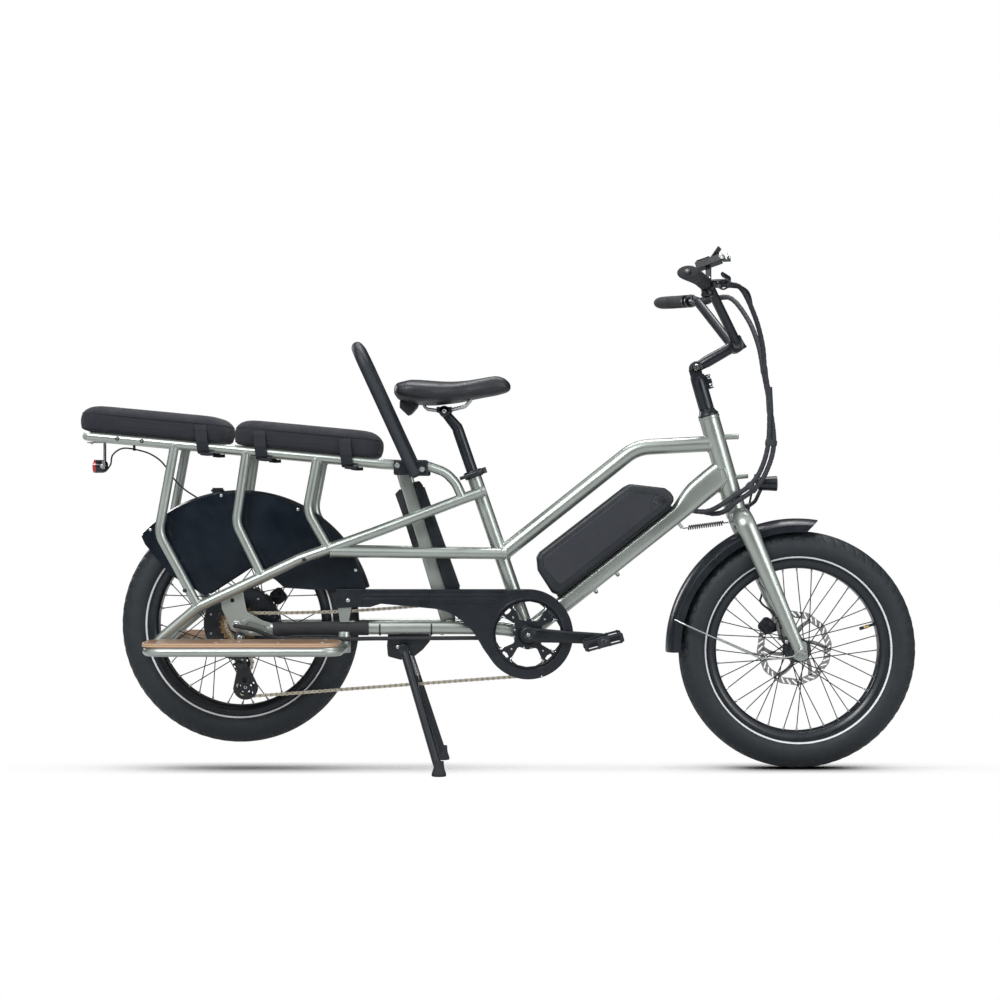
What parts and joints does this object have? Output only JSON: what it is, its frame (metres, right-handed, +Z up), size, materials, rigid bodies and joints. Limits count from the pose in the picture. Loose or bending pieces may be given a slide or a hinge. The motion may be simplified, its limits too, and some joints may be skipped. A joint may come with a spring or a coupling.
{
  "type": "electric cargo bicycle",
  "caption": "Longtail electric cargo bicycle with a rear bench, side footboards, hub motor and down tube battery, parked on a two-leg stand.",
  "frame": {"origin": "on the ground, half way along and across the bicycle, between its two wheels", "axes": "+X forward, +Y to the rider's left, +Z up"},
  "size_m": [1.9668, 0.6958, 1.1944],
  "materials": {
    "frame_paint": "satin",
    "fork_paint": "satin",
    "black_metal": "satin",
    "wheel_metal": "satin",
    "steel": "satin",
    "cog_brass": "satin",
    "tyre": "matte",
    "rubber": "matte",
    "black_plastic": "satin",
    "lens": "gloss",
    "wood": "satin",
    "pad_cloth": "matte",
    "braid": "matte",
    "saddle_cover": "satin"
  },
  "bodies": {
    "frame": {"main_frame": "frame_paint", "side_frame_left": "frame_paint", "side_frame_right": "frame_paint", "rear_rack": "frame_paint", "headset_cup": "black_metal", "seat_collar": "black_metal", "battery_cradle": "black_metal", "controller_box": "black_plastic", "cable_channel": "black_plastic", "chain_case": "black_plastic", "rear_fender": "black_plastic", "hoop_bar": "black_metal", "pad_front": "pad_cloth", "pad_rear": "pad_cloth", "running_board_left": "wood", "running_board_right": "wood", "rear_light": "lens", "rear_caliper": "black_metal", "rear_axle": "steel", "derailleur_body": "black_metal", "stand_bracket": "black_metal", "chain": "steel", "cable_loom": "braid", "motor_cable": "rubber", "steering_spring": "steel"},
    "fork": {"fork": "fork_paint", "front_fender": "black_plastic", "headlight": "black_plastic", "front_caliper": "black_metal", "stem_post": "black_metal", "front_brake_cable": "rubber"},
    "stem": {"stem_arm": "black_metal", "handlebar": "black_metal", "grip_left": "rubber", "grip_right": "rubber", "perch_left": "black_metal", "perch_right": "black_metal", "display": "black_plastic"},
    "brake_lever_left": {"brake_lever_left": "black_metal"},
    "brake_lever_right": {"brake_lever_right": "black_metal"},
    "shift_lever": {"shift_lever": "black_plastic"},
    "bell_lever": {"bell_lever": "steel"},
    "front_wheel": {"front_wheel": "wheel_metal", "front_tyre": "tyre"},
    "rear_wheel": {"rear_wheel": "wheel_metal", "rear_tyre": "tyre"},
    "freewheel": {"freewheel": "cog_brass"},
    "crank": {"crank_right": "black_metal", "crank_left": "black_metal"},
    "pedal_left": {"pedal_left": "black_plastic"},
    "pedal_right": {"pedal_right": "black_plastic"},
    "guide_pulley": {"guide_pulley": "black_plastic"},
    "tension_pulley": {"tension_pulley": "black_plastic"},
    "pulley_cage": {"pulley_cage": "black_metal"},
    "stand": {"stand_legs": "black_metal"},
    "seat": {"seatpost": "black_metal", "saddle": "saddle_cover"},
    "seat_lever": {"seat_lever": "black_metal"},
    "front_axle_lever": {"front_axle_lever": "steel"},
    "battery": {"battery": "black_plastic"}
  },
  "joints": [
    {"name": "steering", "type": "hinge", "parent": "frame", "child": "fork", "pos_m": [0.5475, 0, 0.637], "axis": [-0.2756, 0, 0.9613], "range_deg": [-50, 50], "stiffness_Nm_per_rad": 2, "deforming": ["cable_loom", "steering_spring"]},
    {"name": "stem_tilt", "type": "hinge", "parent": "fork", "child": "stem", "pos_m": [0.462, 0, 0.943], "axis": [0, 1, 0], "range_deg": [-25, 20], "deforming": ["cable_loom"]},
    {"name": "front_wheel_spin", "type": "hinge", "parent": "fork", "child": "front_wheel", "pos_m": [0.7, 0, 0.279], "axis": [0, 1, 0], "continuous": true},
    {"name": "rear_wheel_spin", "type": "hinge", "parent": "frame", "child": "rear_wheel", "pos_m": [-0.611, 0, 0.34], "axis": [0, 1, 0], "continuous": true},
    {"name": "crank_spin", "type": "hinge", "parent": "frame", "child": "crank", "pos_m": [0.0656, 0, 0.3186], "axis": [0, 1, 0], "continuous": true, "deforming": ["chain"]},
    {"name": "freewheel_spin", "type": "hinge", "parent": "frame", "child": "freewheel", "pos_m": [-0.611, 0, 0.34], "axis": [0, 1, 0], "continuous": true, "deforming": ["chain"]},
    {"name": "pedal_left_spin", "type": "hinge", "parent": "crank", "child": "pedal_left", "pos_m": [-0.10415, 0.146, 0.32779], "axis": [0, 1, 0], "continuous": true},
    {"name": "pedal_right_spin", "type": "hinge", "parent": "crank", "child": "pedal_right", "pos_m": [0.23535, -0.146, 0.30941], "axis": [0, 1, 0], "continuous": true},
    {"name": "cage_swing", "type": "hinge", "parent": "frame", "child": "pulley_cage", "pos_m": [-0.6, -0.052, 0.25], "axis": [0, 1, 0], "range_deg": [-25, 0], "stiffness_Nm_per_rad": 0.4, "springref_deg": 28.65, "deforming": ["chain"]},
    {"name": "guide_pulley_spin", "type": "hinge", "parent": "pulley_cage", "child": "guide_pulley", "pos_m": [-0.6, -0.052, 0.25], "axis": [0, 1, 0], "continuous": true, "deforming": ["chain"]},
    {"name": "tension_pulley_spin", "type": "hinge", "parent": "pulley_cage", "child": "tension_pulley", "pos_m": [-0.593, -0.052, 0.195], "axis": [0, 1, 0], "continuous": true, "deforming": ["chain"]},
    {"name": "stand_swing", "type": "hinge", "parent": "frame", "child": "stand", "pos_m": [-0.224, 0, 0.2845], "axis": [0, 1, 0], "range_deg": [0, 90]},
    {"name": "brake_lever_left_pull", "type": "hinge", "parent": "stem", "child": "brake_lever_left", "pos_m": [0.49338, 0.20145, 1.12052], "axis": [0, -0.0683, 0.9977], "range_deg": [0, 18], "stiffness_Nm_per_rad": 0.3, "springref_deg": -11.46},
    {"name": "brake_lever_right_pull", "type": "hinge", "parent": "stem", "child": "brake_lever_right", "pos_m": [0.49338, -0.20145, 1.12052], "axis": [0, -0.0683, -0.9977], "range_deg": [0, 18], "stiffness_Nm_per_rad": 0.3, "springref_deg": -11.46},
    {"name": "shift_lever_push", "type": "hinge", "parent": "stem", "child": "shift_lever", "pos_m": [0.46832, -0.20013, 1.08735], "axis": [0, 0.0683, 0.9977], "range_deg": [0, 25], "stiffness_Nm_per_rad": 0.1, "springref_deg": -11.46},
    {"name": "bell_lever_flick", "type": "hinge", "parent": "stem", "child": "bell_lever", "pos_m": [0.519, -0.18215, 1.18134], "axis": [0, 0.0683, 0.9977], "range_deg": [0, 20], "stiffness_Nm_per_rad": 0.02, "springref_deg": -11.46},
    {"name": "seat_height", "type": "slide", "parent": "frame", "child": "seat", "axis": [-0.3256, 0, 0.9455], "range_m": [-0.1, 0.05]},
    {"name": "seat_lever_open", "type": "hinge", "parent": "frame", "child": "seat_lever", "pos_m": [-0.03747, -0.018, 0.70087], "axis": [-0.3256, 0, 0.9455], "range_deg": [0, 150]},
    {"name": "front_axle_lever_open", "type": "hinge", "parent": "fork", "child": "front_axle_lever", "pos_m": [0.7, 0.085, 0.279], "axis": [-0.9212, 0, -0.3891], "range_deg": [0, 150]},
    {"name": "battery_slide", "type": "slide", "parent": "frame", "child": "battery", "axis": [0.7837, 0, 0.6212], "range_m": [0, 0.02]}
  ],
  "couplings": [
    {"joint": "freewheel_spin", "follows": "crank_spin", "ratio": 3.4286},
    {"joint": "guide_pulley_spin", "follows": "crank_spin", "ratio": -4.3636},
    {"joint": "tension_pulley_spin", "follows": "crank_spin", "ratio": 4.3636}
  ]
}
